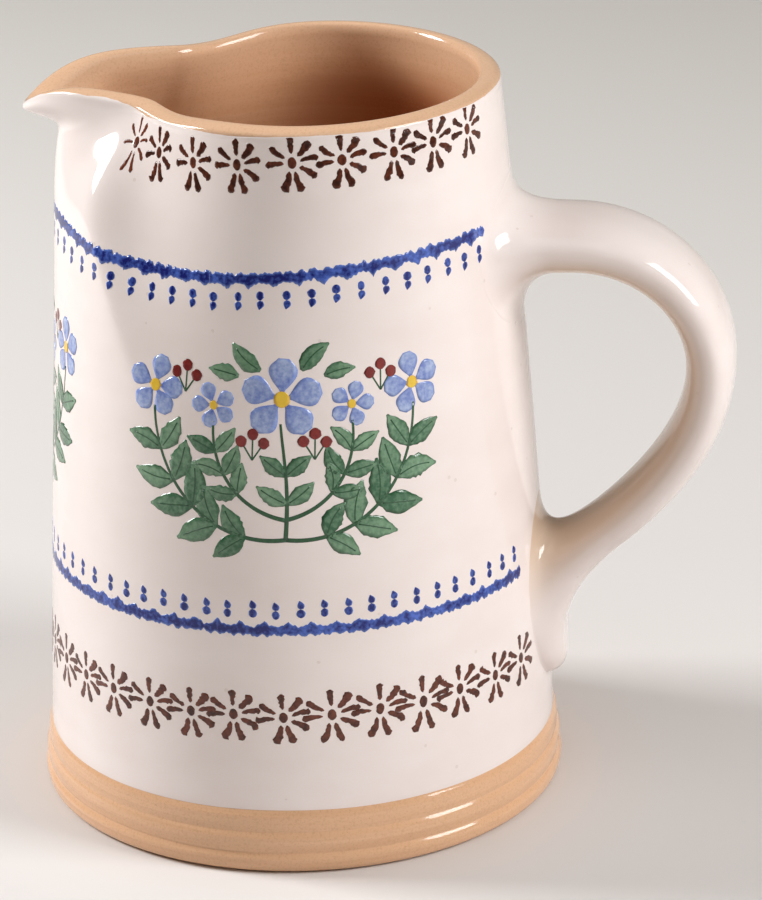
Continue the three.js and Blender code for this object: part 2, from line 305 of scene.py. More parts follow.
def clay_sink(depth):
    above_foot = rim_height - foot_band_height - depth
    return coat_thickness * ease((depth - rim_round + 0.2) / 1.5) * ease(above_foot / 4)


def wall_rings():
    bottom = rim_height - foot_band_height - 0.3
    depths = between(rim_round, bottom, np.linspace(0, 1, 44) ** 1.8)[:0:-1]
    return [skin(directions, np.full(columns, depth), clay_sink(depth)) for depth in depths]


def inner_round(angle):
    return rim_inner_round + channel_dip * bell(from_spout(angle), spout_spread)


def rim_rings():
    rings = []
    outer = outer_radius(directions, rim_round)
    crown = outer - rim_crown_inset
    for turn in np.linspace(0, np.pi, 25):
        rounding = 1 - abs(math.cos(turn))
        if turn <= np.pi / 2:
            depth = np.full(columns, rim_round * (1 - math.sin(turn)))
            radius = between(outer, crown, rounding)
        else:
            depth = inner_round(directions) * (1 - math.sin(turn))
            to_crown = crown - inner_radius(directions, np.zeros(columns))
            radius = inner_radius(directions, depth) + to_crown * rounding
        rings.append(polar(radius, directions, height_at(directions, depth)))
    return rings


def inside_rings():
    bottom = rim_height - floor_thickness - inner_corner_radius
    rings = []
    for share in np.linspace(0, 1, 66)[1:] ** 1.7:
        depth = between(inner_round(directions), bottom, share)
        height = height_at(directions, depth)
        ripple = inside_ripple * throwing_spiral(directions, height, 8.4) * ease(depth / 20)
        rings.append(polar(inner_radius(directions, depth) + ripple, directions, height))
    middle = inner_radius(0.0, bottom) - inner_corner_radius
    for turn in np.linspace(0, np.pi / 2, 11)[1:]:
        radius = middle + inner_corner_radius * np.cos(turn)
        rings.append(polar(radius, directions, floor_thickness + inner_corner_radius * (1 - np.sin(turn))))
    return rings


# %% Clay body
foot, wall, rim, inside = foot_rings(), wall_rings(), rim_rings(), inside_rings()
covered = np.zeros(len(foot) + len(wall) + len(rim) + len(inside) - 1, bool)
covered[len(foot) : len(foot) + len(wall) - 2] = True
clay_body = lofted_piece("thrown_clay_body", foot + wall + rim + inside,
                         [(0, 0, 0), (0, 0, floor_thickness)], covered)
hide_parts("clay_body")


# %% Where the clay is painted paler and darker: thin glaze with painted light, deep glaze with painted shade
paler_from, paler_reach, shade_from, shade_reach = 1.5, 12, 5, 16
shade_at, shade_spread, spout_shade_spread = 60, 36, 25


def store(piece, key, values):
    layer = piece.data.attributes.new(key, "FLOAT", "POINT")
    layer.data.foreach_set("value", np.asarray(values, np.float32))


clay_points = np.concatenate(foot + wall + rim + inside)
around = np.arctan2(clay_points[:, 1], clay_points[:, 0])
below_rim = rim_height - rim_drop(around) - clay_points[:, 2]
# Painted shade inside: darkest on the far side toward the handle and in the spout channel, given as pooled
# glaze.
pooled = 0.06 + 0.94 * bell(np.degrees(around) - shade_at, shade_spread)
pooled += 0.3 * bell(from_spout(around), spout_shade_spread)
order = np.arange(len(clay_points)) / columns
# The rim and the top of the inside are painted paler: thin glaze and painted light.
thin = np.where(order >= len(foot + wall), 1 - ease((below_rim - paler_from) / paler_reach), 0)
# The painted shade grows deeper further down the inside, partly as glaze gathered lower down.
pooled *= ease((below_rim - shade_from) / shade_reach)
shaded = np.where(order >= len(foot + wall + rim), pooled, 0)
store(clay_body, "thin_glaze_painted_light", [*thin, 0, 1])
store(clay_body, "deep_glaze_painted_shade", [*shaded, 0, 1])
print("rim glaze thin on", int((thin > 0.5).sum()), "points, thick inside on", int((shaded > 0.5).sum()))

# %% [markdown]
# ## The white slip coat
# The jug was dipped upside down into white slip up to its foot band, and the rim was wiped clean, so the
# coat ends in soft, slightly wavy edges. It is a thin closed shell. A Solidify modifier could make one,
# but then its edges would be square, while here both edges roll down to the clay in a quarter round. Under
# the two handle joints the shell is left open, because the handle was luted to bare clay there.

# %% Edges and thickness of the coat
top_roll, bottom_roll, edge_bead, coat_ripple = 2.0, 3.0, 0.12, 0.035
top_dips = ((-98, 12, 0.85), (-134, 5, 0.8), (-150, 6, -0.45), (100, 15, 0.6), (150, 9, 0.5))


def coat_top(angle):
    degrees = np.degrees(np.arctan2(np.sin(angle), np.cos(angle)))
    wiped = 1.25 + 0.08 * np.sin(5 * angle + 0.6) + 0.06 * np.sin(12 * angle)
    for middle, spread, lower in top_dips:
        wiped = wiped + lower * bell(degrees - middle, spread)
    ragged = np.sin(41 * angle) + np.sin(67 * angle + 1) + np.sin(97 * angle + 2.5)
    return wiped + 0.05 * ragged * (0.4 + bell(from_spout(angle), 30))


def coat_bottom(angle):
    wave = np.sin(2 * angle + 1) + 0.6 * np.sin(5 * angle) + 0.4 * np.sin(11 * angle + 2)
    return rim_height - foot_band_height - 0.05 + 0.09 * wave


def coat_sink(angle, depth):
    below_top, above_bottom = depth - coat_top(angle), coat_bottom(angle) - depth
    from_edge = np.minimum(below_top, above_bottom)
    share = np.clip(np.minimum(below_top / top_roll, above_bottom / bottom_roll), 0, 1)
    roll = np.sqrt(1 - (1 - share) ** 2)
    ripple = coat_ripple * throwing_spiral(angle, rim_height - depth)
    laid = np.maximum(clay_sink(depth) - coat_thickness * roll, -edge_bead * roll)
    return laid - ripple * ease(from_edge / 6)


# %% Outline of the handle joints on the wall
joint_opening = 0.88
upper_joint = {"height": rim_height - 42.6, "upward": 1, "half_width": 25.5, "outer": 18, "inner": 20}
lower_joint = {"height": foot_band_height + 35.6, "upward": -1, "half_width": 16.5, "outer": 24.1,
               "inner": 25}


def inside_joint(joint, points):
    up = (points[..., 2] - joint["height"]) * joint["upward"]
    span = np.where(up > 0, joint["outer"], joint["inner"]) * joint_opening
    near = (points[..., 1] / (joint["half_width"] * joint_opening)) ** 2 + (up / span) ** 2
    return (near < 1) & (points[..., 0] > 0)


# %% Coat shell
coat_columns, fine_depth = 330, 30
edge_steps = [0, 0.02, 0.08, 0.2, 0.4, 0.65, 1.0]
coat_directions = np.linspace(-np.pi, np.pi, coat_columns, endpoint=False)
top, bottom = coat_top(coat_directions), coat_bottom(coat_directions)
rows = [top + step for step in [*edge_steps, *np.linspace(1.6, fine_depth, 34)]]
rows += [between(top + fine_depth, bottom - 1.4, share) for share in np.linspace(0, 1, 74)[1:]]
rows += [bottom - step for step in edge_steps[::-1]]
depths = np.stack(rows)
spread_angles = np.broadcast_to(coat_directions, depths.shape)
outside = skin(spread_angles, depths, coat_sink(spread_angles, depths))
under = skin(spread_angles, depths, clay_sink(depths) - 0.02)
print("coat rows:", len(depths))


# %% Close the shell round its edges and joints
outside_band, under_band = (0.14, 0.99), (0.01, 0.1)


def shell_piece(name, outside, under, open_cells):
    rows, columns = outside.shape[:2]
    count = rows * columns
    quads = ring_quads(rows, columns)
    keep = ~open_cells.reshape(-1)
    upper_corners = ring_corners(np.linspace(*outside_band, rows), columns)
    lower_corners = ring_corners(np.linspace(*under_band, rows), columns)
    faces = [quads[keep], quads[keep][:, ::-1] + count]
    corners = [upper_corners[keep], lower_corners[keep][:, ::-1]]
    grid = keep.reshape(rows - 1, columns)
    sides = {0: np.pad(grid, ((1, 0), (0, 0)))[:-1], 2: np.pad(grid, ((0, 1), (0, 0)))[1:],
             1: np.roll(grid, -1, 1), 3: np.roll(grid, 1, 1)}
    for side, neighbour in sides.items():
        rim_cells = (grid & ~neighbour).reshape(-1)
        a, b = quads[rim_cells][:, side], quads[rim_cells][:, (side + 1) % 4]
        faces.append(np.stack([b, a, a + count, b + count], -1))
        edge = upper_corners[rim_cells][:, [(side + 1) % 4, side]]
        corners.append(np.concatenate([edge, edge[:, ::-1]], 1))
    used, place = np.unique(np.concatenate([f.reshape(-1) for f in faces]), return_inverse=True)
    points = np.concatenate([outside.reshape(-1, 3), under.reshape(-1, 3)])[used]
    bounds = np.cumsum([f.size for f in faces])[:-1]
    faces = [p.reshape(-1, 4) for p in np.split(place.reshape(-1), bounds)]
    return make_piece(name, points, faces, corners)


cells = (outside[:-1] + outside[1:]) / 2
cells = (cells + np.roll(cells, -1, 1)) / 2
open_cells = inside_joint(upper_joint, cells) | inside_joint(lower_joint, cells)
coat = shell_piece("white_slip_shell", outside, under, open_cells)
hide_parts("white_slip_coat")

# %% [markdown]
# ## The pulled handle
# A handle is pulled from a lump of clay into a strap, bent over, and pressed to the wall at both ends,
# where it spreads. It could be a curve with a bevel, but then the ends would stay square. So the strap is
# lofted from rings along its middle line, and at each end the rings open out along curves that meet the
# wall smoothly. On the finger side, which faces into the loop, the white is painted a warmer, darker honey
# tone as painted shade, given as gathered glaze, so the points there store how much of it they get.

# %% Middle line of the strap
upper_wall, lower_wall = wall_radius(upper_joint["height"]), wall_radius(lower_joint["height"])
level = rim_height - 40.9
strap_start, level_run, reach = 11, 15, 48.45
waist = np.array([upper_wall + reach, level - 31.7])
strap_end = np.array([lower_wall + 16.5, foot_band_height + 53])
waist_pull, end_pull, end_slope = 17, 18, math.radians(40.5)


def bezier(a, b, c, d, share):
    share = np.asarray(share)[..., None]
    rest = 1 - share
    return rest**3 * a + 3 * rest**2 * share * b + 3 * rest * share**2 * c + share**3 * d


def strap_line():
    share = np.linspace(0, 1, 600)
    straight = joined(between(upper_wall + strap_start, upper_wall + level_run, share), level)
    turn = np.pi / 2 * (1 - share)
    shoulder = joined(upper_wall + level_run + (reach - level_run) * np.cos(turn),
                      waist[1] + (level - waist[1]) * np.sin(turn))
    pull = strap_end + end_pull * np.array([math.cos(end_slope), math.sin(end_slope)])
    fall = bezier(waist, waist - [0, waist_pull], pull, strap_end, share)
    return np.concatenate([straight, shoulder[1:], fall[1:]])


line = strap_line()
line_run = np.concatenate([[0], np.cumsum(np.linalg.norm(np.diff(line, axis=0), axis=1))])
line_share = line_run / line_run[-1]
print("strap is", round(line_run[-1], 1), "mm long between its joints")

# %% Rings of the strap
strap_sides = 96
strap_width, strap_thickness, squareness = (35, 26), (14, 11), 2.4
turns = np.linspace(0, 2 * np.pi, strap_sides, endpoint=False)


def along_line(share):
    return joined(*(np.interp(share, line_share, line[:, i]) for i in range(2)))


def strap_tangent(share, step=0.004):
    ahead, behind = np.clip([share + step, share - step], 0, 1)
    tangent = along_line(ahead) - along_line(behind)
    return tangent / np.linalg.norm(tangent)


def rounded(value):
    return np.sign(value) * np.abs(value) ** (2 / squareness)


def strap_ring(share):
    middle, tangent = along_line(share), strap_tangent(share)
    across = between(*strap_width, share) / 2 * rounded(np.cos(turns))
    outward = between(*strap_thickness, share) / 2 * rounded(np.sin(turns))
    return joined(middle[0] - tangent[1] * outward, across, middle[1] + tangent[0] * outward)


# %% Spreading ends
joint_edge = ((0.4, -0.12), (0, -0.3), (-4, -0.3))


def joint_ring(joint, margin=0.0, lift=0.0):
    span = np.where(np.sin(turns) > 0, joint["outer"], joint["inner"])
    across = (joint["half_width"] + margin) * np.cos(turns)
    height = joint["height"] + joint["upward"] * (span + margin) * np.sin(turns)
    return joined(np.sqrt((wall_radius(height) + lift) ** 2 - across**2), across, height)


def around_strap(outer, side, inner):
    facing = np.sin(turns)
    return between(side, np.where(facing > 0, outer, inner), facing**2)


def joint_rings(joint, share, leave, slide, rise):
    start = strap_ring(share)
    tangent = strap_tangent(share) * (1 if share > 0 else -1)
    leaving = start + np.array([tangent[0], 0, tangent[1]]) * around_strap(*leave)[:, None]
    arriving = joint_ring(joint, -around_strap(*slide), around_strap(*rise))
    landing = joint_ring(joint, 0, 0.01)
    rings = [bezier(start, leaving, arriving, landing, np.full(strap_sides, s))
             for s in np.linspace(0, 1, 26)[1:]]
    return rings + [joint_ring(joint, margin, lift) for margin, lift in joint_edge]


# %% Strap handle
upper_end = joint_rings(upper_joint, 0, leave=(7.3, 7.3, 4), slide=(7, 5.3, 9.5), rise=(0, 0, 0))[::-1]
lower_end = joint_rings(lower_joint, 1, leave=(33, 17, 12.5), slide=(3, 2.5, 10), rise=(12, 2.5, 0))
arm = [strap_ring(share) for share in np.linspace(0, 1, 90)]
joint_middles = [(wall_radius(j["height"]) - 0.3, 0, j["height"]) for j in (upper_joint, lower_joint)]
handle = lofted_piece("pulled_handle", upper_end + arm + lower_end, joint_middles)
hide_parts("handle")

# %% Painted shade on the finger side, given as gathered glaze
along = np.concatenate([np.linspace(0, 1, len(upper_end)) ** 3, np.ones(len(arm) + len(lower_end))])
finger_side_shade = (along[:, None] * ease((0.35 - np.sin(turns)) / 1.1)).reshape(-1)
store(handle, "deep_glaze_painted_shade", [*finger_side_shade, 0, 0])

# %% [markdown]
# ## Brush strokes
# Everything painted on the jug is a stroke: a path with a width at each step, laid on the coat. An image
# texture would blur close up, and a shader pattern can't follow a hand's uneven rhythm so freely, so each
# stroke is a very thin closed skin of paint that follows the wall. Every point also stores how much paint
# pools there, more at the edges, and how loaded the brush was. The paint's material reads both.


# %% Where a painted point lies
paint_lift, paint_root, edge_margin = 0.03, 0.06, 0.15


def depth_of(angle, height):
    depth = rim_height - height
    for _ in range(12):
        depth = rim_height - height - rim_drop(angle) * fade(depth, drop_reach, 2)
    return depth


def on_coat(angle, height, lift):
    depth = np.maximum(depth_of(angle, height), coat_top(angle) + edge_margin)
    return skin(angle, depth, coat_sink(angle, depth) - lift)


# %% Faces of a stroke
def stroke_faces(steps, ways):
    row, column = np.meshgrid(np.arange(steps - 1), np.arange(ways - 1), indexing="ij")
    low = (row * ways + column).reshape(-1)
    top = joined(low, low + ways, low + ways + 1, low + 1)
    down = steps * ways
    ring = np.concatenate([np.arange(ways), np.arange(1, steps) * ways + ways - 1,
                           (steps - 1) * ways + np.arange(ways - 1)[::-1],
                           np.arange(1, steps - 1)[::-1] * ways])
    after = np.roll(ring, -1)
    edge = joined(ring, after, after + down, ring + down)
    return np.concatenate([top, top[:, ::-1] + down, edge])


# %% Paint layer that collects strokes
class PaintLayer:
    across = np.array([-1, -0.62, 0, 0.62, 1])

    def __init__(self, cells):
        self.grid = math.ceil(math.sqrt(cells))
        self.points, self.faces, self.corners, self.pool, self.load = [], [], [], [], []
        self.count = 0

    def stroke(self, path, left, right, place, load, cell, cell_size, lift=paint_lift, tip=1.0):
        steps, ways = len(path), len(self.across)
        run = np.gradient(path, axis=0)
        run /= np.linalg.norm(run, axis=1, keepdims=True)
        side = joined(-run[:, 1], run[:, 0])
        width = np.where(self.across > 0, np.reshape(left, (-1, 1)), np.reshape(right, (-1, 1)))
        local = path[:, None] + side[:, None] * (width * self.across)[..., None]
        angle = place[0] + local[..., 0] / wall_radius(place[1])
        height = place[1] + local[..., 1]
        self.points += [on_coat(angle, height, up).reshape(-1, 3) for up in (lift, -paint_root)]
        pool = np.tile(self.across**2, (steps, 1))
        pool[[0, -1]] = np.maximum(pool[[0, -1]], tip)
        self.pool += [pool.reshape(-1)] * 2
        self.load += [np.repeat(np.broadcast_to(load, steps), ways)] * 2
        faces = stroke_faces(steps, ways)
        self.faces.append(faces + self.count)
        self.count += 2 * steps * ways
        row, column = divmod(cell, self.grid)
        flat = (np.array([column, row]) + 0.5 + local / cell_size) / self.grid
        flat = np.clip(flat, 0.001, 0.999).reshape(-1, 2)
        self.corners.append(np.concatenate([flat, flat])[faces])

    def piece(self, name):
        faces, corners = np.concatenate(self.faces), np.concatenate(self.corners)
        made = make_piece(name, np.concatenate(self.points), [faces], [corners])
        store(made, "pool", np.concatenate(self.pool))
        store(made, "load", np.concatenate(self.load))
        return made


# %% [markdown]
# ## Rows of brown flowers
# A cut sponge dipped in brown stain prints the same eight-petalled flower in one row under the rim and one
# above the foot. The stamp is drawn once as nine short strokes, and each print gets its own
# small turn, size and load of stain from a seeded random source, so the row is the same on every run.
# Beside the spout the sponge hardly touched, and the print there is narrow and faint.

# %% Flower stamp
chance = np.random.default_rng(7)
petal_steps = np.linspace(0, 1, 10)
dot_steps = 9
petal_root, stamp_cell = 1.9, 17
petals = [(91, 5.5, 0.74, 0.1), (48, 6.0, 0.95, -0.3), (9, 6.1, 0.68, 0.3), (-31, 6.2, 0.84, 0.3),
          (-71, 6.3, 0.8, -0.2), (-112, 6.3, 0.9, 0.4), (-174, 6.2, 0.7, -0.2), (147, 6.0, 0.72, 0.2)]


def bent_path(x, y, direction, along, bend):
    turn = math.radians(direction)
    aside = bend * np.sin(np.pi * np.linspace(0, 1, len(along)))
    return joined(x + along * math.cos(turn) - aside * math.sin(turn),
                  y + along * math.sin(turn) + aside * math.cos(turn))


def petal_width(half):
    blunt = np.minimum(1, np.sqrt(1 - np.abs(2 * petal_steps - 1) ** 4) + 0.25)
    club = between(0.5, 1.08, petal_steps) * blunt
    return 1.15 * half * club * (1 + 0.14 * chance.normal(size=petal_steps.size))


def dot_path(x, y, radius):
    way = np.cos(np.linspace(np.pi, 0, dot_steps))
    return joined(x, y + radius * way)


def dot_width(radius):
    way = np.sin(np.linspace(0, np.pi, dot_steps))
    return radius * np.clip(way, 0.12, 1) * (1 + 0.06 * chance.normal(size=dot_steps))


def print_flower(layer, place, cell, wide, tall, stain):
    turn = math.radians(chance.normal(0, 2.5))
    spin = np.array([[math.cos(turn), math.sin(turn)], [-math.sin(turn), math.cos(turn)]])
    grown = np.array([wide, tall]) * (1 + 0.03 * chance.normal())
    pressed = np.interp(stain, (0.1, 0.5), (0.6, 1))
    for direction, tip, half, bend in petals:
        along = between(petal_root, tip, petal_steps)
        path = bent_path(0, 0, direction, along, bend) @ spin * grown
        load = np.clip(stain + chance.uniform(-0.2, 0.2) + 0.25 * (petal_steps - 0.5), 0, 1)
        left, right = petal_width(pressed * half), petal_width(pressed * half)
        layer.stroke(path, left, right, place, load, cell, stamp_cell)
    heart = dot_path(0, 0, 1.2) @ spin * grown
    left, right = dot_width(1.1), dot_width(1.1)
    layer.stroke(heart, left, right, place, chance.uniform(0.3, 0.8), cell, stamp_cell)


# %% Print both rows
near_angles = np.array([26.9, 40.3, 52.5, 66.5, 79.3, 94.2, 108.8, 124.1, 135.7])
upper_heights = [179.5, 179.5, 179.1, 179.0, 178.6, 177.5, 176.2, 175.9, 176.7]
upper_angles = np.concatenate([-near_angles, near_angles])
lower_angles, lower_height = np.linspace(21.8, 338.2, 31), 41.4
upper_row, lower_row = PaintLayer(len(upper_angles)), PaintLayer(len(lower_angles))
for cell, angle in enumerate(upper_angles):
    height = np.interp(abs(angle), near_angles, upper_heights)
    place = (math.radians(angle), height + chance.normal(0, 0.12))
    wide = np.interp(abs(angle), (115, 135), (1.04, 0.8))
    stain = np.interp(abs(angle), (125, 135), (0.8, 0.1))
    print_flower(upper_row, place, cell, wide, 1.12, stain)
for cell, angle in enumerate(lower_angles):
    place = (math.radians(angle + chance.normal(0, 0.3)), lower_height + chance.normal(0, 0.25))
    print_flower(lower_row, place, cell, 1.16, 1.17, 0.5)
upper_flowers = upper_row.piece("upper_flower_row")
lower_flowers = lower_row.piece("lower_flower_row")

# %% [markdown]
# ## Blue sponged lines and dabs
# Two blue lines run round the jug and stop short of the handle. A small sponge was walked along them, so
# one edge is a run of little bumps and the other a run of points, and between the points hang a round dab
# and a comma-shaped one. The upper line has them below it, the lower line above it.

# %% Beat of the sponge
upper_blue = {"height": 153.8, "sag": 4.1, "end": 23.5, "side": -1, "step": 5.99}
lower_blue = {"height": 64.0, "sag": 0.0, "end": 19.0, "side": 1, "step": 5.89}
sag_at, sag_to_handle, sag_to_spout = 115, 48, 32


def line_height(blue, angle):
    away = np.abs(np.degrees(np.arctan2(np.sin(angle), np.cos(angle))))
    spread = np.where(away < sag_at, sag_to_handle, sag_to_spout)
    return blue["height"] - blue["sag"] * bell(away - sag_at, spread)


def beats(blue):
    start = math.radians(blue["end"])
    radius = wall_radius(blue["height"])
    count = round((2 * math.pi - 2 * start) * radius / blue["step"])
    return np.linspace(start, 2 * math.pi - start, count + 1), radius


# %% Sponged line
steps_per_beat, line_parts = 24, 8


def sponged_line(blue):
    turns_at, radius = beats(blue)
    layer = PaintLayer(line_parts)
    steps = (len(turns_at) - 1) * steps_per_beat + 1
    turn = np.linspace(turns_at[0], turns_at[-1], steps)
    beat = np.arange(steps) / steps_per_beat % 1
    tooth = 1 - np.sin(np.pi * beat) ** 0.75
    rough = np.convolve(chance.normal(0, 0.3, steps), np.hanning(7) / 3, "same")
    worn = np.convolve(chance.normal(0, 1.5, steps), np.ones(60) / 60, "same")
    tooth *= 1 + np.repeat(chance.normal(0, 0.2, len(turns_at)), steps_per_beat)[:steps]
    lobes = 0.25 * np.abs(np.sin(5 * np.pi * beat))
    bumps = 0.9 + 0.6 * np.abs(np.sin(2 * np.pi * beat + 0.6)) + lobes + rough
    points = 0.75 + 1.3 * tooth + lobes + np.roll(rough, 7)
    ends = np.clip(np.minimum(np.arange(steps), np.arange(steps)[::-1]) / 3, 0.1, 1)
    above, below = (bumps, points) if blue["side"] < 0 else (points, bumps)
    load = np.clip(0.72 + 0.3 * tooth + 0.5 * rough + worn, 0, 1)
    for part in range(line_parts):
        cut = slice(part * (steps - 1) // line_parts, (part + 1) * (steps - 1) // line_parts + 1)
        middle = turn[cut].mean()
        path = joined((turn[cut] - middle) * radius, line_height(blue, turn[cut]) - blue["height"])
        layer.stroke(path, (above * ends)[cut], (below * ends)[cut], (middle, blue["height"]), load[cut],
                     part, radius * math.pi / 4, tip=0)
    return layer


# %% Dabs that hang from a line
dab_cell = 14


def dabs(blue):
    turns_at, _ = beats(blue)
    layer = PaintLayer(len(turns_at))
    side = blue["side"]
    for cell, turn in enumerate((turns_at[1:] + turns_at[:-1]) / 2):
        place = (turn, line_height(blue, turn) + chance.normal(0, 0.12))
        half, lean = 1.02 * (1 + 0.1 * chance.normal()), 0.2 * chance.normal()
        left, right = dot_width(half), dot_width(half)
        dot = dot_path(lean, side * 4.1, 1.1)
        layer.stroke(dot, left, right, place, chance.uniform(0.6, 1), cell, dab_cell)
        tail = joined(lean + between(0.3, -0.3, petal_steps), side * between(5.3, 7.4, petal_steps))
        width = 0.9 * np.clip(np.sin(np.pi * np.clip(petal_steps, 0.05, 0.96) ** 0.7), 0.1, 1) ** 0.8
        layer.stroke(tail, width, width, place, chance.uniform(0.7, 1), cell, dab_cell)
    print("dabs:", len(turns_at) - 1)
    return layer


# %% Paint lines and dabs
upper_line = sponged_line(upper_blue).piece("upper_sponged_line")
lower_line = sponged_line(lower_blue).piece("lower_sponged_line")
upper_dabs = dabs(upper_blue).piece("upper_blue_dabs")
lower_dabs = dabs(lower_blue).piece("lower_blue_dabs")

# %% [markdown]
# ## Flowering sprigs
# Between the lines, a sprig is painted on each side and one under the spout: two leafy stems that curve
# apart, blue blossoms with a yellow heart, and small red berries. Leaves and petals are wide strokes,
# stems and veins thin ones, each kind a layer of its own.

# %% Strokes of a sprig
leaf_steps = np.linspace(0, 1, 13)
sprig_cell, over_leaf, over_stem = 84, 0.05, 0.06
sprig_parts = ("stems", "leaves", "veins", "blossoms", "hearts", "berries")
sprig_layers = {name: PaintLayer(4) for name in sprig_parts}


def leaf_width(half, point):
    full = np.sin(np.pi * np.clip(leaf_steps, 0.03, 0.97) ** 0.85) ** point
    return half * full * (1 + 0.06 * chance.normal(size=leaf_steps.size))


def paint(kind, path, half, spot, load, lift=paint_lift):
    place, cell = spot
    sprig_layers[kind].stroke(path, half, half, place, load, cell, sprig_cell, lift)


def paint_leaf(x, y, direction, length, spot):
    bend = chance.normal(0, 0.5)
    path = bent_path(x, y, direction, length * leaf_steps, bend)
    shade = chance.uniform(0.15, 0.8)
    load = np.clip(shade + 0.4 * (0.5 - leaf_steps), 0, 1)
    paint("leaves", path, leaf_width(0.26 * length, 0.9), spot, load)
    paint("veins", path[1:11], np.full(10, 0.16), spot, 0.7, over_leaf)


def paint_blossom(x, y, size, spot, start=90):
    for petal in range(5):
        direction = start + 72 * petal + chance.normal(0, 4)
        path = bent_path(x, y, direction, size * leaf_steps, 0)[2:]
        along = np.linspace(0, 1, len(path))
        half = 0.36 * size * np.sin(np.pi * np.clip(along, 0.04, 0.96) ** 1.5) ** 0.6
        paint("blossoms", path, half, spot, np.clip(0.75 - 0.6 * leaf_steps[2:], 0, 1))
    paint("hearts", dot_path(x, y, 0.2 * size), dot_width(0.2 * size), spot, 0.4, over_leaf)


# %% Compose one sprig and repeat it
def leafy_stem(stem, leaves, spot):
    paint("stems", stem, between(0.55, 0.3, np.linspace(0, 1, len(stem))), spot, 0.6)
    for step, length in leaves:
        x, y = stem[step]
        run = stem[step + 1] - stem[step - 1]
        heading = math.degrees(math.atan2(run[1], run[0]))
        for turn in (50, -50):
            paint_leaf(x, y, heading + turn + chance.normal(0, 4), length, spot)


def berry_bunch(x, y, spot):
    for aside, above in ((-2.6, 4.6), (0.3, 6.4), (2.9, 4.2)):
        twig = joined(np.linspace(x, x + aside, 10), np.linspace(y, y + above, 10))
        paint("stems", twig, np.full(10, 0.2), spot, 0.5)
        berry = dot_path(x + aside, y + above, 1.45)
        paint("berries", berry, dot_width(1.4), spot, chance.uniform(0.2, 0.8), over_stem)


def paint_sprig(spot):
    share = np.linspace(0, 1, 40)
    for side in (-1, 1):
        way = np.array([side, 1])
        outer = bezier(way * [0, -23], way * [16, -25], way * [32, -13], way * [33, 8], share)
        inner = bezier(way * [0, -18], way * [10, -16], way * [18, -7], way * [17, 6], share)
        leafy_stem(outer, ((8, 9.5), (14, 11), (20, 11.5), (26, 11), (32, 10)), spot)
        leafy_stem(inner, ((17, 8), (24, 8.5), (31, 8)), spot)
        paint_blossom(side * 33, 13, 7.6, spot, 90 + side * 10)
        paint_blossom(side * 17, 10, 5.6, spot, 90 - side * 20)
        berry_bunch(side * 24.5, 12.5, spot)
        berry_bunch(side * 7.5, -3, spot)
        paint_leaf(side * 5, 19, 90 - side * 48, 9.5, spot)
        paint_leaf(side * 10.5, 17.5, 90 - side * 80, 8, spot)
    upright = joined(0.6 * np.sin(np.linspace(0, 4, 30)), np.linspace(-23, 6, 30))
    leafy_stem(upright, ((9, 8.5), (16, 8)), spot)
    paint_blossom(0, 12, 10, spot)


sprig_height = 110
for cell, angle in enumerate((-83.5, 177, 83.5)):
    paint_sprig(((math.radians(angle), sprig_height), cell))
sprigs = {name: layer.piece("sprig_" + name) for name, layer in sprig_layers.items()}

# %% [markdown]
# ## Shared finishes
# The glaze lies over clay, slip and paint alike, so its slightly uneven skin is one node group for every
# glazed material. Streaks from throwing and specks of iron are groups too, and so is the wash of a brush,
# which reads what each stroke stored. Groups only put out colours, values and normals. The shader stays in
# the material, where the export can read it.


# %% Helpers for nodes
def feed(tree, sockets, values):
    for key, value in values.items():
        if isinstance(value, bpy.types.NodeSocket):
            tree.links.new(value, sockets[key])
        else:
            sockets[key].default_value = value


def add(tree, kind, values=None, **settings):
    node = tree.nodes.new("ShaderNode" + kind)
    for key, value in settings.items():
        setattr(node, key, value)
    feed(tree, node.inputs, values or {})
    return node


def new_group(name, inputs, outputs):
    group = bpy.data.node_groups.new(name, "ShaderNodeTree")
    for kind, sockets in (("INPUT", inputs), ("OUTPUT", outputs)):
        for label, value in sockets.items():
            group.interface.new_socket(label, in_out=kind, socket_type="NodeSocket" + value)
    ends = group.nodes.new("NodeGroupInput"), group.nodes.new("NodeGroupOutput")
    return group, ends[0].outputs, ends[1].inputs


# %% Helpers for colours and values
def mix_colour(tree, factor, first, second):
    return add(tree, "Mix", {0: factor, 6: first, 7: second}, data_type="RGBA").outputs[2]


def math_node(tree, operation, first, second):
    return add(tree, "Math", {0: first, 1: second}, operation=operation).outputs[0]


def times(tree, first, second):
    return math_node(tree, "MULTIPLY", first, second)


def stored(tree, key):
    return add(tree, "Attribute", attribute_name=key).outputs["Fac"]


def ramp(tree, value, start, end, top=1.0):
    limits = {"From Min": start, "From Max": end, "To Max": top}
    return add(tree, "MapRange", {0: value, **limits}).outputs[0]


def noise(tree, scale, detail, stretch=(1, 1, 1)):
    place = add(tree, "TexCoord").outputs["Object"]
    mapped = add(tree, "Mapping", {"Vector": place, "Scale": stretch}).outputs["Vector"]
    made = add(tree, "TexNoise", {"Vector": mapped, "Scale": scale, "Detail": detail})
    return made.outputs["Fac"]


# %% Glaze skin
glaze_skin, glaze_in, glaze_out = new_group(
    "glaze_skin", {"Unevenness": "Float"}, {"Normal": "Vector", "Pooling": "Float"}
)
broad = noise(glaze_skin, 45, 2, (1, 1, 1.6))
fine = noise(glaze_skin, 420, 2)
height = math_node(glaze_skin, "ADD", broad, times(glaze_skin, fine, 0.06))
bump = add(glaze_skin, "Bump",
           {"Strength": glaze_in["Unevenness"], "Distance": 0.0006, "Height": height})
feed(glaze_skin, glaze_out, {"Normal": bump.outputs["Normal"], "Pooling": broad})

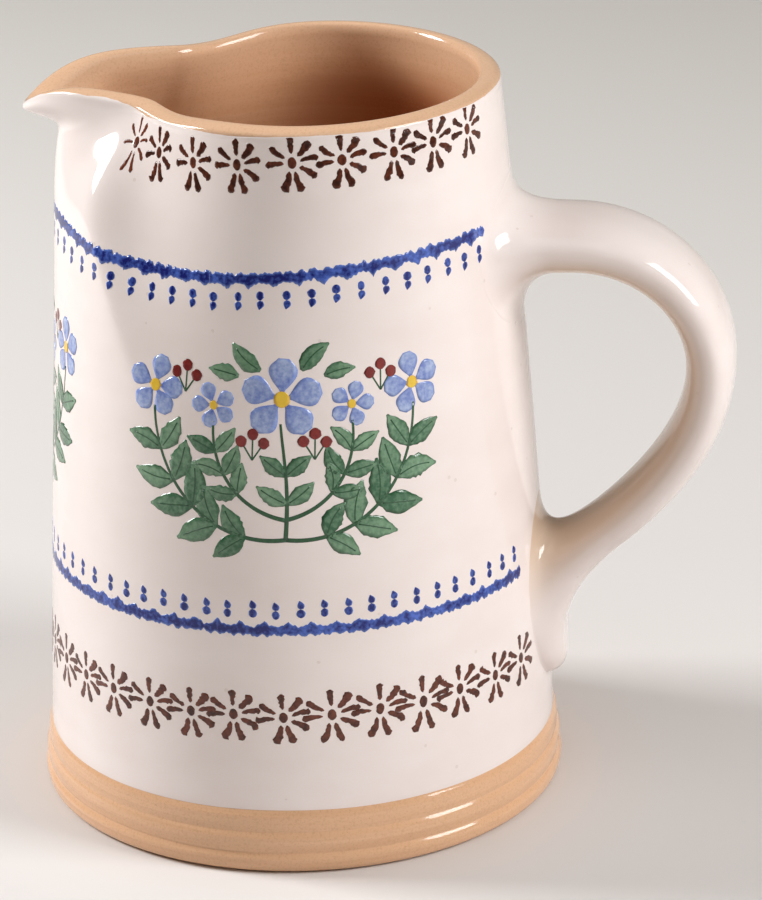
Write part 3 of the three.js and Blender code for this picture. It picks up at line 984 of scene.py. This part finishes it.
# %% Throwing streaks and iron specks
streaks, _, streaks_out = new_group("throwing_streaks", {}, {"Streak": "Float"})
wide = noise(streaks, 1, 4, (6, 6, 420))
narrow = noise(streaks, 1, 3, (14, 14, 1500))
streak = math_node(streaks, "ADD", times(streaks, wide, 0.6), times(streaks, narrow, 0.4))
feed(streaks, streaks_out, {"Streak": streak})

specks, specks_in, specks_out = new_group(
    "iron_specks", {"Scale": "Float", "Share": "Float"}, {"Mask": "Float"}
)
speck_place = add(specks, "TexCoord").outputs["Object"]
grains = add(specks, "TexVoronoi", {"Vector": speck_place, "Scale": specks_in["Scale"]})
chosen = add(specks, "SeparateColor", {"Color": grains.outputs["Color"]})
few = math_node(specks, "LESS_THAN", chosen.outputs[0], specks_in["Share"])
near = math_node(specks, "LESS_THAN", grains.outputs["Distance"], 0.34)
feed(specks, specks_out, {"Mask": times(specks, few, near)})

# %% Brush wash
wash, wash_in, wash_out = new_group(
    "brush_wash",
    {"Thin": "Color", "Full": "Color", "Pooled": "Color", "Mottle": "Float"},
    {"Color": "Color"},
)
blotch = math_node(wash, "SUBTRACT", noise(wash, 900, 3), 0.5)
spread = times(wash, blotch, wash_in["Mottle"])
load = math_node(wash, "ADD", stored(wash, "load"), times(wash, spread, 3))
loaded = add(wash, "Clamp", {0: load}).outputs[0]
body = mix_colour(wash, loaded, wash_in["Thin"], wash_in["Full"])
pool = math_node(wash, "ADD", stored(wash, "pool"), spread)
edge = ramp(wash, pool, 0.35, 1.0, 0.8)
feed(wash, wash_out, {"Color": mix_colour(wash, edge, body, wash_in["Pooled"])})
print("finish groups:", [group.name for group in bpy.data.node_groups])

# %% [markdown]
# ## Materials
# A colour is written as it should look in plain light and turned into Blender's linear values. The glaze is
# the Principled shader's own gloss: low roughness over a coloured body. Clay shows streaks and specks, the
# white shows a faint warm mottle where it lies thick or thin.


# %% Helpers for materials
def linear(red, green, blue):
    values = [c / 255 for c in (red, green, blue)]
    return tuple(v / 12.92 if v <= 0.04045 else ((v + 0.055) / 1.055) ** 2.4 for v in values) + (1.0,)


def new_material(name, roughness):
    material = bpy.data.materials.new(name)
    material.use_nodes = True
    tree = material.node_tree
    shader = tree.nodes["Principled BSDF"].inputs
    feed(tree, shader, {"Roughness": roughness, "IOR": 1.5})
    return material, tree, shader


def place_group(tree, group, **values):
    return add(tree, "Group", values, node_tree=group).outputs


def glaze(tree, unevenness=0.3):
    return place_group(tree, glaze_skin, Unevenness=unevenness)


def layered(tree, base, *layers):
    for share, colour in layers:
        base = mix_colour(tree, share, base, linear(*colour))
    return base


def dress(material, *pieces):
    for piece in pieces:
        piece.data.materials.clear()
        piece.data.materials.append(material)


# %% Buff clay under clear glaze
clay_finish, tree, shader = new_material("buff_clay_glazed", 0.1)
streak = place_group(tree, streaks)["Streak"]
clay_specks = place_group(tree, specks, Scale=2300.0, Share=0.25)["Mask"]
clay_skin = glaze(tree)["Normal"]
thin_glaze_painted_light, deep_glaze_painted_shade = stored(tree, "thin_glaze_painted_light"), stored(tree, "deep_glaze_painted_shade")
glazed = math_node(tree, "MAXIMUM", thin_glaze_painted_light, deep_glaze_painted_shade)
outside_only = math_node(tree, "SUBTRACT", 1.0, glazed)
grain = ramp(tree, noise(tree, 1700, 2), 0.5, 0.75, 0.26)
spots = times(tree, times(tree, clay_specks, 0.11), outside_only)
# Painted light and shade in the clay colour: the thin-glaze share paints the rim paler, the deep-glaze share
# paints the inside deep brown as shade.
tone = layered(
    tree, mix_colour(tree, streak, linear(218, 168, 126), linear(238, 196, 160)),
    (times(tree, thin_glaze_painted_light, 0.6), (230, 192, 160)), (times(tree, deep_glaze_painted_shade, 0.9), (150, 74, 26)),
    (grain, (182, 128, 88)), (spots, (130, 80, 50)),
)
bump = add(tree, "Bump", {"Strength": times(tree, outside_only, 0.3), "Distance": 0.0003,
                          "Height": streak, "Normal": clay_skin})
feed(tree, shader, {"Base Color": tone, "Normal": bump.outputs["Normal"]})
dress(clay_finish, clay_body)

# %% White slip under clear glaze
white_finish, tree, shader = new_material("white_slip_glazed", 0.08)
white_skin = glaze(tree)
white_specks = place_group(tree, specks, Scale=700.0, Share=0.004)["Mask"]
white = layered(
    tree, mix_colour(tree, white_skin["Pooling"], linear(239, 226, 221), linear(250, 240, 237)),
    (times(tree, white_specks, 0.25), (196, 176, 160)),
    # Painted shade: the handle's finger side is painted a warm, darker tone.
    (times(tree, stored(tree, "deep_glaze_painted_shade"), 0.85), (216, 188, 160)),
)
feed(tree, shader, {"Base Color": white, "Normal": white_skin["Normal"]})
dress(white_finish, coat, handle)


# %% Paints under clear glaze
def paint_finish(name, thin, full, pooled, mottle):
    material, tree, shader = new_material(name, 0.09)
    brush = place_group(tree, wash, Thin=linear(*thin), Full=linear(*full), Pooled=linear(*pooled),
                        Mottle=mottle)
    feed(tree, shader, {"Base Color": brush["Color"], "Normal": glaze(tree)["Normal"]})
    return material


paints = (
    ("brown_stain", (116, 56, 35), (53, 19, 7), (97, 46, 26), 0.7, upper_flowers, lower_flowers),
    ("blue_sponge", (80, 112, 204), (14, 26, 108), (104, 136, 214), 0.8, upper_line, lower_line, upper_dabs,
     lower_dabs),
    ("leaf_green", (128, 164, 132), (52, 98, 68), (36, 82, 52), 0.5, sprigs["leaves"]),
    ("stem_green", (60, 104, 70), (36, 78, 50), (30, 70, 46), 0.4, sprigs["stems"], sprigs["veins"]),
    ("blossom_blue", (176, 192, 226), (70, 98, 186), (112, 138, 208), 0.5, sprigs["blossoms"]),
    ("heart_yellow", (240, 206, 74), (232, 184, 48), (206, 150, 40), 0.4, sprigs["hearts"]),
    ("berry_red", (150, 52, 44), (112, 30, 30), (92, 24, 26), 0.4, sprigs["berries"]),
)
for name, thin, full, pooled, mottle, *pieces in paints:
    dress(paint_finish(name, thin, full, pooled, mottle), *pieces)

# %% [markdown]
# ## Luting slip
# Between wall and handle lies a pad of dried slip. It is sealed in by the handle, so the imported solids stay
# as they are and only get a matt, grainy clay finish.

# %% Luting slip finish
slip_finish, tree, shader = new_material("dried_slip", 0.8)
slip_grain = place_group(tree, specks, Scale=1500.0, Share=0.4)["Mask"]
slip = mix_colour(tree, slip_grain, linear(216, 181, 147), linear(196, 156, 120))
feed(tree, shader, {"Base Color": slip})
dress(slip_finish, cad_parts["upper_luting_slip"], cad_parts["lower_luting_slip"])

# %% [markdown]
# ## Studio
# The jug stands on a pale table in front of a backdrop that rises all round, so that every view is plain.
# Two large soft lamps stand left and right, a weak one hangs above, and a faint sky fills the shadows. The
# camera stands where the photograph was taken from, a little above the jug, with a long lens.


# %% Floor and backdrop
def sweep(sides=96, table=1.6, bend=1.2):
    turn = np.linspace(0.1, 1.57, 14)
    reach = np.concatenate([[0.02], np.linspace(0.15, table, 12), table + bend * np.sin(turn)])
    rise = np.concatenate([np.zeros(13), bend * (1 - np.cos(turn))])
    around = np.linspace(0, 2 * np.pi, sides, endpoint=False)
    points = np.concatenate([polar(r, around, z) for r, z in zip(reach, rise)])
    middle = list(range(sides))[::-1]
    return new_mesh("studio_sweep", points, ring_quads(len(reach), sides).tolist() + [middle])


floor = sweep()
floor_finish, tree, shader = new_material("pale_table", 0.6)
paper = mix_colour(tree, noise(tree, 3, 2), linear(221, 217, 215), linear(225, 222, 220))
spot = add(tree, "SeparateXYZ", {0: add(tree, "TexCoord").outputs["Object"]}).outputs
# Painted light: the table is painted lighter toward the right, which lifts the cast shadow there, and lighter
# still toward the back.
painted_light_right, painted_light_back = ramp(tree, spot["X"], 0.0, 0.6), ramp(tree, spot["Y"], 0.15, 1.0)
paper = layered(tree, paper, (painted_light_right, (228, 225, 222)), (painted_light_back, (243, 241, 236)))
feed(tree, shader, {"Base Color": paper})
dress(floor_finish, floor)


# %% Lamps
aim = Vector((0.0, 0.0, 0.1))


def soft_lamp(name, direction, rise, distance, size, power):
    lamp = bpy.data.lights.new(name, "AREA")
    lamp.shape = "RECTANGLE"
    lamp.size, lamp.size_y = size
    lamp.energy = power
    turn, lift = math.radians(direction), math.radians(rise)
    away = Vector((math.cos(turn) * math.cos(lift), math.sin(turn) * math.cos(lift), math.sin(lift)))
    stand = new_object(name, lamp)
    stand.location = aim + distance * away
    stand.rotation_euler = away.to_track_quat("Z", "Y").to_euler()


soft_lamp("left_lamp", 173, 31, 1.15, (0.34, 0.42), 13.2)
soft_lamp("right_lamp", -14, 33, 1.15, (0.42, 0.6), 9.9)
soft_lamp("top_lamp", -95, 74, 1.3, (0.9, 0.9), 1.8)
world = bpy.data.worlds.new("studio_sky")
world.use_nodes = True
sky = world.node_tree.nodes["Background"].inputs
feed(world.node_tree, sky, {"Color": (1, 0.88, 0.76, 1), "Strength": 0.155})
bpy.context.scene.world = world

# %% Camera
camera = new_object("camera", bpy.data.cameras.new("camera"))
camera.data.sensor_fit = "VERTICAL"
camera.data.sensor_height = 36
camera.data.lens = 157
camera.location = (0.151196, -0.919388, 0.449515)
target = Vector((0.02156, 0.00303, 0.08573))
look = (camera.location - target).to_track_quat("Z", "Y").to_matrix().to_4x4()
tilt = Matrix.Rotation(math.radians(-1.27), 4, "Z")
camera.matrix_world = Matrix.Translation(camera.location) @ look @ tilt
bpy.context.scene.camera = camera
bpy.context.scene.view_settings.view_transform = "Standard"
